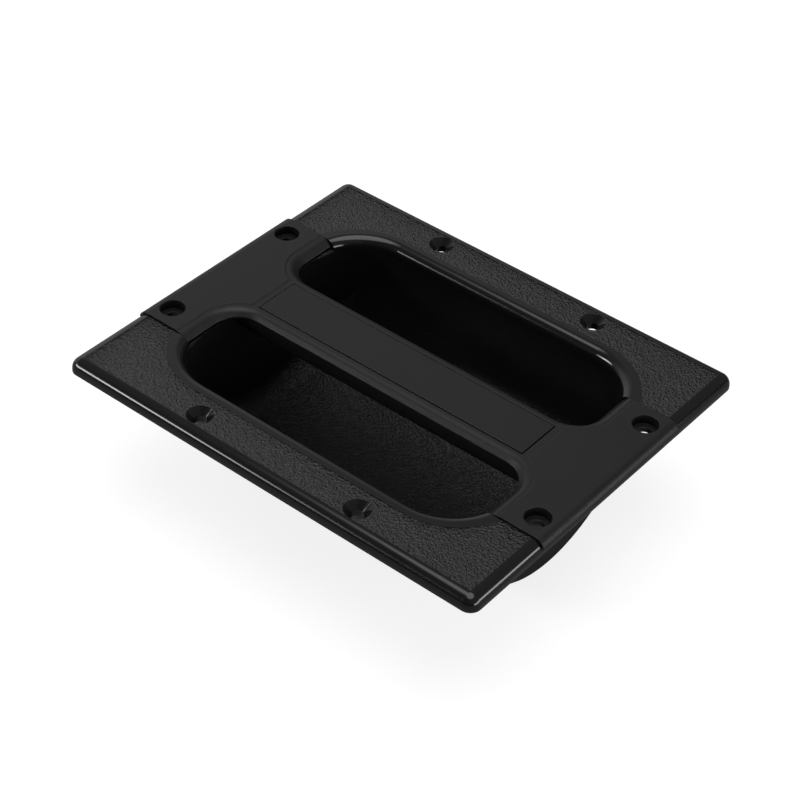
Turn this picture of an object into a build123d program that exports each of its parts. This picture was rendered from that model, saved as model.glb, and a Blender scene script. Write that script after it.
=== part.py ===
from build123d import *
import os
from math import hypot

# Recessed pull handle: a moulded dish let into a panel, and a wrap-over grip that
# bridges it and shares the dish's fixing screws. A flush cap closes the grip.
# The origin is on the panel face at the centre of both screw patterns, X runs along
# the grip, Z points out of the panel, and every size is in millimetres.

# Dish plate
plate_length = 200.0
plate_width = 168.0
plate_corner_radius = 4.8
plate_edge_round = 4.8
face_level = 5.6
trim_rise = 0.3
border_width = 5.0
face_wall = 3.2
rim_wall = 3.0
rib_wall = 2.0
ribs_beside_middle = 2

# Opening and its rolled lip
opening_length = 149.0
opening_width = 116.2
opening_corner_radius = 23.6
throat_level = 0.4
lip_roll = 4.2
lip_end_width = 8.65
lip_side_width = 6.3
lip_corner_radius = 31.15

# Bowl: a round trough about an axis along X, with blended ends
bowl_axis_level = 4.6
bowl_wall = 2.6
bowl_end_blend = 10.0
bowl_end_chamfer = 7.0

# Screws: countersunk holes on the long sides, counterbored bosses in the flanges
side_pitch_x = 77.8
side_screw_inset = 10.6
flange_screw_inset = 9.1
flange_pitch_y = 68.6
side_hole = 5.2
side_head = 10.8
flange_hole = 5.6
flange_head = 10.5
flange_head_depth = 4.3
boss_diameter = 13.5
dish_boss_diameter = 14.0
boss_standoff = 0.3

# Grip
flange_width = 86.6
flange_rise = 1.1
flange_thickness = 3.2
flange_overhang = 0.7
flange_lip = 0.9
flange_lip_drop = 0.7
flange_round = 4.8
return_wall = 2.4
return_level = 3.0
return_bevel = 3.0
return_standoff = 1.1
ledge_bevel = 0.8
grip_width = 31.2
grip_bevel = 2.4
grip_level = -8.0
grip_under_round = 9.0
grip_end_gap = 0.6
pocket_corner_radius = 12.0
bevel_blend = 3.5
crease_offset = 5.5
plateau_inner_x = 69.2
plateau_step = 0.3
grip_floor = 3.0
grip_cavity_width = 18.0
grip_rib_height = 5.0
grip_rib_count = 5

# Cap
cap_length = 131.4
cap_width = 20.4
cap_thickness = 2.2
cap_edge_round = 0.25
cap_ledge = 2.2
cap_key_length = 96.0
cap_key_wall = 1.4
cap_key_depth = 2.6

# Clearances
fit_gap = 0.3
cap_gap = 0.45
cap_shift = 0.25

# Levels and places that follow
side_pitch_y = plate_width - 2 * side_screw_inset
flange_pitch_x = plate_length - 2 * flange_screw_inset
trim_level = face_level + trim_rise
ceiling_level = face_level - face_wall
flange_level = face_level + flange_rise
channel_level = flange_level - flange_thickness
channel_width = flange_width + 2 * fit_gap
grip_top = flange_level - plateau_step
flange_end = plate_length / 2 + flange_overhang
return_x = opening_length / 2
ledge_level = return_level - return_standoff
bowl_radius = hypot(opening_width / 2, bowl_axis_level - throat_level)
lip_level = channel_level - flange_lip_drop
lip_inner = flange_end - flange_lip
cap_seat = grip_top - cap_thickness

# How far joined solids run into each other, and cutters run past a face
overlap = 0.4
past = 1.0
pocket_run = 20.0


def block(x0, x1, y0, y1, z0, z1):
    return Pos(x0, y0, z0) * Box(x1 - x0, y1 - y0, z1 - z0, align=(Align.MIN,) * 3)


def slab(outline, z0, z1):
    return extrude(Pos(0, 0, z0) * outline, z1 - z0)


def corners(pitch_x, pitch_y):
    return [(sx * pitch_x / 2, sy * pitch_y / 2) for sx in (-1, 1) for sy in (-1, 1)]


def post(x, y, diameter, z0, z1):
    return slab(Pos(x, y) * Circle(diameter / 2), z0, z1)


# ---------------------------------------------------------------- dish

def opening_outline(grow=0.0):
    length = opening_length + 2 * grow
    width = opening_width + 2 * grow
    return RectangleRounded(length, width, opening_corner_radius + grow)


def lip_outline():
    length = opening_length + 2 * lip_end_width
    width = opening_width + 2 * lip_side_width
    return RectangleRounded(length, width, lip_corner_radius)


def plate_blank():
    plate = slab(RectangleRounded(plate_length, plate_width, plate_corner_radius), 0, trim_level)
    upper_edges = plate.faces().sort_by(Axis.Z)[-1].edges()
    return fillet(upper_edges, plate_edge_round)


def face_recess():
    field = Rectangle(plate_length - 2 * border_width, plate_width - 2 * border_width)
    return slab(field - lip_outline(), face_level, trim_level + past)


def underside_pockets():
    """Pockets all round the bowl, with ribs between and bosses round the screws."""
    skirt = 2 * rim_wall
    collar = 2 * (bowl_wall + rim_wall)
    pockets = Rectangle(plate_length - skirt, plate_width - skirt)
    pockets -= Rectangle(opening_length + collar, opening_width + collar)
    pockets -= Rectangle(plate_length, channel_width + skirt)
    for step in range(-ribs_beside_middle, ribs_beside_middle + 1):
        pockets -= Pos(step * side_pitch_x / 2, 0) * Rectangle(rib_wall, plate_width)
    for x, y in corners(side_pitch_x, side_pitch_y):
        pockets -= Pos(x, y) * Circle(dish_boss_diameter / 2)
    return slab(pockets, 0, ceiling_level)


def bowl_shell():
    """Outer form of the bowl: a round trough with bevelled ends."""
    radius = bowl_radius + bowl_wall
    round_bar = Cylinder(radius, opening_length + 2 * bowl_wall)
    round_bar = chamfer(round_bar.edges().filter_by(GeomType.CIRCLE), bowl_end_chamfer)
    trough = Pos(0, 0, bowl_axis_level) * Rot(0, 90, 0) * round_bar
    lowest = bowl_axis_level - radius - past
    return trough & slab(opening_outline(bowl_wall), lowest, ceiling_level + overlap)


def bowl_hollow():
    """Inside of the bowl: a round trough whose ends blend into it."""
    round_bar = Cylinder(bowl_radius, opening_length)
    round_bar = fillet(round_bar.edges().filter_by(GeomType.CIRCLE), bowl_end_blend)
    trough = Pos(0, 0, bowl_axis_level) * Rot(0, 90, 0) * round_bar
    return trough & slab(opening_outline(), bowl_axis_level - bowl_radius - past, throat_level)


def flange_channels():
    """Seats for the grip's flanges, lower under their inner returns and outer lips."""
    half = channel_width / 2
    notch_x = return_x + return_wall + fit_gap
    channel = block(0, notch_x, -half, half, ledge_level, trim_level + past)
    channel += block(0, plate_length, -half, half, channel_level, trim_level + past)
    channel += block(lip_inner - fit_gap, plate_length, -half, half, lip_level - fit_gap, trim_level + past)
    return channel + Rot(0, 0, 180) * channel


def ledge_bevels():
    """Bevel along the dish's lip where it shows below the grip's returns."""
    outline = Pos(0, 0, ledge_level) * opening_outline(ledge_bevel)
    bevel = extrude(outline, ledge_bevel, dir=(0, 0, -1), taper=45)
    half = channel_width / 2
    return bevel & block(-return_x, return_x, -half, half, 0, ledge_level)


def countersunk_hole(x, y):
    cone_depth = (side_head - side_hole) / 2
    bore = post(x, y, side_hole, -past, trim_level)
    head = Cone(side_hole / 2, side_head / 2, cone_depth, align=(Align.CENTER, Align.CENTER, Align.MAX))
    return bore + Pos(x, y, face_level) * head


def dish():
    body = plate_blank() - underside_pockets()
    body += bowl_shell()
    body -= slab(opening_outline(), throat_level, trim_level + past)
    rim = body.faces().sort_by(Axis.Z)[-1].inner_wires()[0].edges()
    body = fillet(rim, lip_roll)
    body -= bowl_hollow()
    body -= face_recess()
    body -= flange_channels()
    body -= ledge_bevels()
    for x, y in corners(side_pitch_x, side_pitch_y):
        body -= countersunk_hole(x, y)
    for x, y in corners(flange_pitch_x, flange_pitch_y):
        body -= post(x, y, boss_diameter + 2 * fit_gap, -past, trim_level)
    return body


# ---------------------------------------------------------------- grip bridge

def pocket_outlines(grow, grip_edge):
    """The two finger pockets either side of the grip, open towards the plate's long sides."""
    length = 2 * (return_x + grow)
    depth = flange_width / 2 + pocket_run - grip_edge
    pocket = Pos(0, grip_edge + depth / 2) * RectangleRounded(length, depth, pocket_corner_radius + grow)
    return pocket + Rot(0, 0, 180) * pocket


def bridge_deck():
    """Deck with a bevelled rim round both pockets, under a slightly raised plateau."""
    half_grip = grip_width / 2
    deck = slab(Rectangle(2 * flange_end, flange_width) - pocket_outlines(0, half_grip), 0, grip_top)
    bevel = Pos(0, 0, grip_top) * pocket_outlines(return_bevel, half_grip - grip_bevel)
    deck -= extrude(bevel, return_bevel, dir=(0, 0, -1), taper=45)
    upper_edges = deck.faces().sort_by(Axis.Z)[-1].edges()
    pocket_edges = [e for e in upper_edges if abs(e.center().X) < return_x + return_bevel + overlap]
    deck = fillet(pocket_edges, bevel_blend)
    plateau = Rectangle(2 * flange_end, flange_width)
    plateau -= pocket_outlines(crease_offset, half_grip - crease_offset)
    plateau -= Rectangle(2 * plateau_inner_x, grip_width)
    return deck + slab(plateau, grip_top - overlap, flange_level)


def flange_end_cut():
    """Waste outside the flange's rounded outer edge."""
    centre_x = flange_end - flange_round
    centre_z = flange_level - flange_round
    curve = CenterArc((centre_x, centre_z), flange_round, 0, 90)
    corner = Polyline(
        (centre_x, flange_level),
        (centre_x, flange_level + past),
        (flange_end + past, flange_level + past),
        (flange_end + past, centre_z),
        (flange_end, centre_z),
    )
    waste = extrude(Plane.XZ * make_face(curve + corner), flange_width, both=True)
    return waste + Rot(0, 0, 180) * waste


def underside_cut():
    """Waste below the deck: under the returns, the flanges and their outer lips."""
    reach = flange_width
    cut = block(-plate_length, plate_length, -reach, reach, -past, return_level)
    for turn in (0, 180):
        side = block(return_x + return_wall, lip_inner, -reach, reach, 0, channel_level)
        side += block(lip_inner - overlap, plate_length, -reach, reach, 0, lip_level)
        cut += Rot(0, 0, turn) * side
    return cut


def grip_beam():
    half_length = opening_length / 2 - grip_end_gap
    half_width = grip_width / 2
    beam = block(-half_length, half_length, -half_width, half_width, grip_level, channel_level)
    lower_edges = beam.faces().sort_by(Axis.Z)[0].edges().filter_by(Axis.X)
    return fillet(lower_edges, grip_under_round)


def grip_hollow():
    seat = Rectangle(cap_length + 2 * cap_gap, cap_width + 2 * cap_gap)
    well_length = cap_length - 2 * cap_ledge
    well = Rectangle(well_length, grip_cavity_width)
    floor_level = grip_level + grip_floor
    hollow = slab(seat, cap_seat, flange_level + past)
    hollow += slab(well, floor_level, cap_seat + overlap)
    rib_pitch = well_length / (grip_rib_count + 1)
    for index in range(grip_rib_count):
        x = (index + 1) * rib_pitch - well_length / 2
        rib = Pos(x, 0) * Rectangle(rib_wall, grip_cavity_width)
        hollow -= slab(rib, floor_level, floor_level + grip_rib_height)
    return hollow


def grip_bridge():
    body = bridge_deck() - flange_end_cut() - underside_cut()
    body += grip_beam()
    seats = corners(flange_pitch_x, flange_pitch_y)
    for x, y in seats:
        body += post(x, y, boss_diameter, boss_standoff, channel_level + overlap)
    for x, y in seats:
        body -= post(x, y, flange_hole, 0, flange_level)
        body -= post(x, y, flange_head, flange_level - flange_head_depth, flange_level + past)
    return body - grip_hollow()


# ---------------------------------------------------------------- grip cap

def grip_insert():
    """Flush cap, resting against the far and left sides of its seat."""
    cap = slab(Rectangle(cap_length, cap_width), cap_seat, grip_top)
    cap = fillet(cap.faces().sort_by(Axis.Z)[-1].edges(), cap_edge_round)
    outer = grip_cavity_width / 2 - fit_gap - cap_shift
    key = block(
        -cap_key_length / 2, cap_key_length / 2,
        outer - cap_key_wall, outer,
        cap_seat - cap_key_depth, cap_seat + overlap,
    )
    return Pos(-cap_shift, cap_shift) * (cap + key + Rot(0, 0, 180) * key)


def main():
    os.makedirs("parts", exist_ok=True)
    for make in (dish, grip_bridge, grip_insert):
        export_step(make(), "parts/" + make.__name__ + ".step")


main()
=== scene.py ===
from math import cos, radians, sin

import bpy
from mathutils import Matrix, Vector


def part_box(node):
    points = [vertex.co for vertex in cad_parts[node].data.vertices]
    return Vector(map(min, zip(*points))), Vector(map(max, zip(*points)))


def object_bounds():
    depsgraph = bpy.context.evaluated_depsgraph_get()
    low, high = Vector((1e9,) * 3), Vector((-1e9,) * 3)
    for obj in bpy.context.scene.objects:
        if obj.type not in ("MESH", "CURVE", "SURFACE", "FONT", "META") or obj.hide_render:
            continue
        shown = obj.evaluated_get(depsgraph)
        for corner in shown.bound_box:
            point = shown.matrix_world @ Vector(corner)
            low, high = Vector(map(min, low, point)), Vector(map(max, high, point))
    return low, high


# The dressed model of a recessed pull handle. Metres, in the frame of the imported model.

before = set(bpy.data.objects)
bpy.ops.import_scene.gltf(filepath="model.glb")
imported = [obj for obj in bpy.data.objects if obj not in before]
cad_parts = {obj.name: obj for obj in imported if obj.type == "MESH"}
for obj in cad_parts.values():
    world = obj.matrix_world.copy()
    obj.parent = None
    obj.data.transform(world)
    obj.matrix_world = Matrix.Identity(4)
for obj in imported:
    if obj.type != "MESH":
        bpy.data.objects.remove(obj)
cad_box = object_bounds()

MM = 0.001

# Levels on the dish: the smooth trim is its top, and the grained face lies just below it
TRIM_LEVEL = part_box("dish")[1].z
FACE_DROP = 0.3 * MM
FACE_LEVEL = TRIM_LEVEL - FACE_DROP
THROAT_LEVEL = 0.4 * MM

# Camera
CAMERA_AZIMUTH = radians(37.44)
CAMERA_ELEVATION = radians(40.31)
CAMERA_ROLL = radians(2.96)
CAMERA_DISTANCE = 0.810
CAMERA_TARGET = Vector((0.01188, -0.01626, FACE_LEVEL))
CAMERA_LENS = 95.33
SENSOR_WIDTH = 36.0

# Brightness of the studio by direction, where 1 is the white of the backdrop
CEILING = 2.5
FRONT_LEFT_STRIP = 19.0
BACK_RIGHT_STRIP = 8.0
BACK_LEFT_GLOW = 0.60
WALLS = 0.17
LOW_ROOM = 0.06

# Plastics: gloss, rounding of the moulded edges, and depth and cells per metre of the grains
PLASTIC_IOR = 1.46
SATIN_SPECULAR = 0.40
SATIN_ROUGHNESS = (0.42, 0.48)
SATIN_BLACK = 0.0040
DISH_EDGE = 0.10 * MM
SATIN_EDGE = 0.60 * MM
FACE_GRAIN_DEPTH = 0.50 * MM
FACE_PEBBLES = 1050.0
FACE_GRIT = 1900.0
BOWL_GRAIN_DEPTH = 0.46 * MM
BOWL_CELLS = 1250.0
BOWL_GRIT = 2000.0
FLOW_DEPTH = 0.02 * MM
SATIN_GRAIN_DEPTH = 0.03 * MM
SATIN_GRAIN = 2600.0
EDGE_WEAR = 160.0

# Floor: half its width, its paper as lit for other rays and for the camera, and its own white
FLOOR_REACH = 6.0
FLOOR_PAPER_UNSEEN = 0.30
FLOOR_PAPER_SEEN = 0.85
FLOOR_GLOW = 1.25
FLOOR_GLOW_SEEN = 0.65
FLOOR_GLOW_IN_GLOSS = 0.02


# ---------------------------------------------------------------- shader helpers

class Graph:
    """Adds nodes to a node tree and wires them by name."""

    def __init__(self, tree):
        self.tree = tree
        tree.nodes.clear()

    def add(self, kind, **settings):
        node = self.tree.nodes.new(kind)
        for name, value in settings.items():
            setattr(node, name, value)
        return node

    def wire(self, source, target):
        self.tree.links.new(source, target)

    def feed(self, socket, value):
        if isinstance(value, bpy.types.NodeSocket):
            self.wire(value, socket)
        else:
            socket.default_value = value

    def math(self, operation, *values, clamp=False):
        node = self.add("ShaderNodeMath", operation=operation, use_clamp=clamp)
        for socket, value in zip(node.inputs, values):
            self.feed(socket, value)
        return node.outputs[0]

    def vector(self, operation, *values):
        node = self.add("ShaderNodeVectorMath", operation=operation)
        for socket, value in zip(node.inputs, values):
            self.feed(socket, value)
        return node.outputs["Value"] if operation in ("DOT_PRODUCT", "LENGTH") else node.outputs[0]

    def fade(self, value, start, end, low=0.0, high=1.0):
        """Smooth step from low at start to high at end."""
        node = self.add("ShaderNodeMapRange", interpolation_type="SMOOTHSTEP")
        node.clamp = True
        for socket, number in zip(node.inputs, (value, start, end, low, high)):
            self.feed(socket, number)
        return node.outputs[0]

    def mix(self, factor, first, second):
        node = self.add("ShaderNodeMix", data_type="RGBA")
        self.feed(node.inputs[0], factor)
        self.feed(node.inputs[6], first)
        self.feed(node.inputs[7], second)
        return node.outputs[2]

    def noise(self, coords, scale, detail=2.0, roughness=0.5):
        node = self.add("ShaderNodeTexNoise")
        self.wire(coords, node.inputs["Vector"])
        self.feed(node.inputs["Scale"], scale)
        self.feed(node.inputs["Detail"], detail)
        self.feed(node.inputs["Roughness"], roughness)
        return node.outputs[0]

    def cells(self, coords, scale, smooth=0.4):
        node = self.add("ShaderNodeTexVoronoi", feature="SMOOTH_F1")
        self.wire(coords, node.inputs["Vector"])
        self.feed(node.inputs["Scale"], scale)
        self.feed(node.inputs["Smoothness"], smooth)
        return node.outputs["Distance"]

    def bump(self, height, distance, strength=1.0, normal=None):
        node = self.add("ShaderNodeBump")
        self.feed(node.inputs["Height"], height)
        self.feed(node.inputs["Distance"], distance)
        self.feed(node.inputs["Strength"], strength)
        if normal is not None:
            self.wire(normal, node.inputs["Normal"])
        return node.outputs[0]


def new_material(name):
    material = bpy.data.materials.new(name)
    material.use_nodes = True
    graph = Graph(material.node_tree)
    output = graph.add("ShaderNodeOutputMaterial")
    shader = graph.add("ShaderNodeBsdfPrincipled")
    graph.wire(shader.outputs[0], output.inputs[0])
    shader.inputs["IOR"].default_value = PLASTIC_IOR
    place = graph.add("ShaderNodeTexCoord").outputs["Object"]
    return material, graph, shader, place


def tone(value, warm=0.0):
    return (value * (1 + warm), value, value * (1 - warm), 1.0)


# ---------------------------------------------------------------- plastics

def soft_edges(graph, radius):
    """A normal rounded over at the moulded edges, and how close a point is to such an edge."""
    round_over = graph.add("ShaderNodeBevel", samples=6)
    round_over.inputs["Radius"].default_value = radius
    rounded = round_over.outputs[0]
    flat = graph.add("ShaderNodeNewGeometry").outputs["Normal"]
    edge = graph.fade(graph.vector("DOT_PRODUCT", rounded, flat), 0.80, 0.99, 1.0, 0.0)
    return rounded, edge


def dish_plastic():
    """Black moulding: pebble grain on the face, fine spark grain in the bowl, smooth trim."""
    material, graph, shader, place = new_material("dish_plastic")
    axes = graph.add("ShaderNodeSeparateXYZ")
    graph.wire(place, axes.inputs[0])
    height = axes.outputs["Z"]
    below_trim = graph.fade(height, FACE_LEVEL + 0.02 * MM, FACE_LEVEL + 0.12 * MM, 1.0, 0.0)
    above_holes = graph.fade(height, FACE_LEVEL - 0.10 * MM, FACE_LEVEL - 0.02 * MM)
    upward = graph.add("ShaderNodeSeparateXYZ")
    graph.wire(graph.add("ShaderNodeNewGeometry").outputs["Normal"], upward.inputs[0])
    level = graph.fade(upward.outputs["Z"], 0.97, 0.99)
    face = graph.math("MULTIPLY", graph.math("MULTIPLY", below_trim, above_holes), level)
    bowl = graph.fade(height, THROAT_LEVEL - 0.8 * MM, THROAT_LEVEL, 1.0, 0.0)
    rounded, edge = soft_edges(graph, DISH_EDGE)

    # The grain of the bowl is on its inner side, and fades on the far wall
    near_side = graph.fade(axes.outputs["Y"], 36.0 * MM, 46.0 * MM, 1.0, 0.12)
    inside = graph.fade(upward.outputs["Z"], 0.02, 0.15, 0.10, 1.0)
    sparkling = graph.math("MULTIPLY", bowl, graph.math("MULTIPLY", near_side, inside))

    face_grit = graph.noise(place, FACE_GRIT, 2.0)
    face_grain = graph.math("MULTIPLY_ADD", face_grit, 0.7, graph.cells(place, FACE_PEBBLES, 0.5))
    bowl_grit = graph.noise(place, BOWL_GRIT, 2.0, 0.6)
    bowl_grain = graph.math("MULTIPLY_ADD", bowl_grit, 0.9, graph.cells(place, BOWL_CELLS, 0.25))
    clouds = graph.noise(place, 28.0, 3.0)
    coarse = graph.bump(face_grain, FACE_GRAIN_DEPTH, face, rounded)
    fine = graph.bump(bowl_grain, BOWL_GRAIN_DEPTH, sparkling, coarse)
    ripple = graph.bump(graph.noise(place, 90.0, 1.0), FLOW_DEPTH, 0.6, fine)

    base = graph.mix(clouds, tone(0.0042, 0.03), tone(0.0052, 0.01))
    wear = graph.fade(graph.noise(place, EDGE_WEAR, 2.0), 0.45, 0.65)
    rubbed = graph.math("MULTIPLY", edge, wear)
    graph.wire(graph.mix(rubbed, base, tone(0.014)), shader.inputs["Base Color"])
    smooth = graph.fade(clouds, 0.3, 0.7, 0.11, 0.15)
    grained = graph.math("MULTIPLY_ADD", face, 0.03, smooth)
    sparked = graph.math("MULTIPLY_ADD", bowl, 0.08, grained)
    graph.wire(graph.math("MULTIPLY_ADD", rubbed, 0.15, sparked), shader.inputs["Roughness"])
    graph.wire(ripple, shader.inputs["Normal"])
    return material


def satin_plastic(name, seed):
    """Black satin moulding: an even fine spark finish with slight flow marks."""
    material, graph, shader, place = new_material(name)
    moved = graph.vector("ADD", place, (seed, seed, seed))
    rounded, edge = soft_edges(graph, SATIN_EDGE)
    clouds = graph.noise(moved, 24.0, 3.0)
    spark = graph.noise(moved, SATIN_GRAIN, 2.0)
    flow = graph.noise(moved, 70.0, 1.0)
    even = graph.mix(clouds, tone(SATIN_BLACK * 0.9, 0.03), tone(SATIN_BLACK * 1.1))
    wear = graph.fade(graph.noise(moved, EDGE_WEAR, 2.0), 0.45, 0.65)
    rubbed = graph.math("MULTIPLY", edge, wear)
    graph.wire(graph.mix(rubbed, even, tone(SATIN_BLACK * 2.2)), shader.inputs["Base Color"])
    graph.wire(graph.fade(clouds, 0.3, 0.7, *SATIN_ROUGHNESS), shader.inputs["Roughness"])
    shader.inputs["Specular IOR Level"].default_value = SATIN_SPECULAR
    fine = graph.bump(spark, SATIN_GRAIN_DEPTH, 0.8, rounded)
    graph.wire(graph.bump(flow, SATIN_GRAIN_DEPTH, 0.5, fine), shader.inputs["Normal"])
    return material


def dress(node, material):
    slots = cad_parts[node].data.materials
    for index in range(len(slots)):
        slots[index] = material


# ---------------------------------------------------------------- studio

def backdrop_rays(graph, camera_share, gloss_share):
    """How much of the backdrop's own white a ray sees, from the camera or by gloss and glass."""
    path = graph.add("ShaderNodeLightPath")
    glossy, through = path.outputs["Is Glossy Ray"], path.outputs["Is Transmission Ray"]
    dimmed = graph.math("MULTIPLY", graph.math("MAXIMUM", glossy, through), gloss_share)
    return graph.math("MULTIPLY_ADD", path.outputs["Is Camera Ray"], camera_share, dimmed)


def floor():
    """Pale floor that keeps the object's shadow and reads as white where it is open."""
    level = cad_box[0][2]
    mesh = bpy.data.meshes.new("floor")
    around = ((-1, -1), (1, -1), (1, 1), (-1, 1))
    corners = [(x * FLOOR_REACH, y * FLOOR_REACH, level) for x, y in around]
    mesh.from_pydata(corners, [], [(0, 1, 2, 3)])
    sheet = bpy.data.objects.new("floor", mesh)
    bpy.context.scene.collection.objects.link(sheet)

    material = bpy.data.materials.new("floor_paper")
    material.use_nodes = True
    graph = Graph(material.node_tree)
    output = graph.add("ShaderNodeOutputMaterial")
    paper = graph.add("ShaderNodeBsdfDiffuse")
    straight = graph.add("ShaderNodeLightPath").outputs["Is Camera Ray"]
    shade = graph.mix(straight, tone(FLOOR_PAPER_UNSEEN), tone(FLOOR_PAPER_SEEN))
    graph.wire(shade, paper.inputs["Color"])
    glow = graph.add("ShaderNodeEmission")
    glow.inputs["Strength"].default_value = FLOOR_GLOW
    share = backdrop_rays(graph, FLOOR_GLOW_SEEN, FLOOR_GLOW_IN_GLOSS)
    blend = graph.add("ShaderNodeMixShader")
    graph.wire(share, blend.inputs[0])
    graph.wire(paper.outputs[0], blend.inputs[1])
    graph.wire(glow.outputs[0], blend.inputs[2])
    graph.wire(blend.outputs[0], output.inputs[0])
    mesh.materials.append(material)


def patch(graph, level, facing, narrow, wide, height, band):
    """A soft-edged lit patch: full within the narrow angle of a bearing, gone past the wide one.

    The band gives the heights, in degrees, where it starts, is full, starts to fade and is gone.
    """
    across = graph.fade(facing, cos(radians(wide)), cos(radians(narrow)), 0.0, level)
    low, full, fading, gone = (sin(radians(angle)) for angle in band)
    rising = graph.fade(height, low, full)
    falling = graph.fade(height, fading, gone, 1.0, 0.0)
    return graph.math("MULTIPLY", across, graph.math("MULTIPLY", rising, falling))


def room():
    """Dim studio with a bright ceiling, two strip lights and a paler wall. The camera sees white."""
    world = bpy.data.worlds.new("room")
    bpy.context.scene.world = world
    world.use_nodes = True
    graph = Graph(world.node_tree)
    output = graph.add("ShaderNodeOutputWorld")
    direction = graph.add("ShaderNodeTexCoord").outputs["Generated"]
    axes = graph.add("ShaderNodeSeparateXYZ")
    graph.wire(direction, axes.inputs[0])
    rise = axes.outputs["Z"]
    level_way = graph.vector("NORMALIZE", graph.vector("MULTIPLY", direction, (1.0, 1.0, 0.0)))

    def bearing(degrees):
        angle = radians(degrees)
        return graph.vector("DOT_PRODUCT", level_way, (cos(angle), sin(angle), 0.0))

    ceiling = graph.fade(rise, sin(radians(60.0)), sin(radians(65.5)), 0.0, CEILING)
    off_front = graph.fade(bearing(-95.0), cos(radians(30.0)), cos(radians(55.0)), 0.4, 1.0)
    wall_glow = graph.fade(rise, sin(radians(16.0)), sin(radians(26.0)), 0.0, WALLS)
    walls = graph.math("MULTIPLY_ADD", wall_glow, off_front, LOW_ROOM)
    studio = graph.math("ADD", ceiling, walls)
    for level, degrees, narrow, wide, band in (
        (FRONT_LEFT_STRIP, -135.0, 4.0, 16.0, (14.0, 17.0, 23.0, 26.0)),
        (BACK_RIGHT_STRIP, 12.0, 26.0, 31.0, (2.0, 5.0, 13.0, 17.0)),
        (BACK_LEFT_GLOW, 160.0, 10.0, 52.0, (-2.0, 0.0, 25.0, 55.0)),
    ):
        lit = patch(graph, level, bearing(degrees), narrow, wide, rise, band)
        studio = graph.math("ADD", studio, lit)

    share = backdrop_rays(graph, 1.0, 0.0)
    both = graph.add("ShaderNodeMix", data_type="FLOAT")
    graph.feed(both.inputs[0], share)
    graph.feed(both.inputs[2], studio)
    graph.feed(both.inputs[3], 1.0)
    background = graph.add("ShaderNodeBackground")
    background.inputs["Color"].default_value = tone(1.0)
    graph.wire(both.outputs[0], background.inputs["Strength"])
    graph.wire(background.outputs[0], output.inputs[0])


def camera():
    azimuth, elevation, roll = CAMERA_AZIMUTH, CAMERA_ELEVATION, CAMERA_ROLL
    back = Vector((sin(azimuth) * cos(elevation), -cos(azimuth) * cos(elevation), sin(elevation)))
    right = Vector((0, 0, 1)).cross(back).normalized()
    up = back.cross(right)
    tilted_right = cos(roll) * right + sin(roll) * up
    tilted_up = cos(roll) * up - sin(roll) * right
    turn = Matrix((tilted_right, tilted_up, back)).transposed()
    lens = bpy.data.cameras.new("camera")
    lens.lens = CAMERA_LENS
    lens.sensor_width = SENSOR_WIDTH
    lens.clip_start = 0.01
    holder = bpy.data.objects.new("camera", lens)
    bpy.context.scene.collection.objects.link(holder)
    place = Matrix.Translation(CAMERA_TARGET + CAMERA_DISTANCE * back)
    holder.matrix_world = place @ turn.to_4x4()
    bpy.context.scene.camera = holder


def main():
    camera()
    room()
    floor()
    dress("dish", dish_plastic())
    dress("grip_bridge", satin_plastic("grip_plastic", 0.0))
    dress("grip_insert", satin_plastic("cap_plastic", 0.5))
    bpy.context.scene.view_settings.view_transform = "Standard"


main()
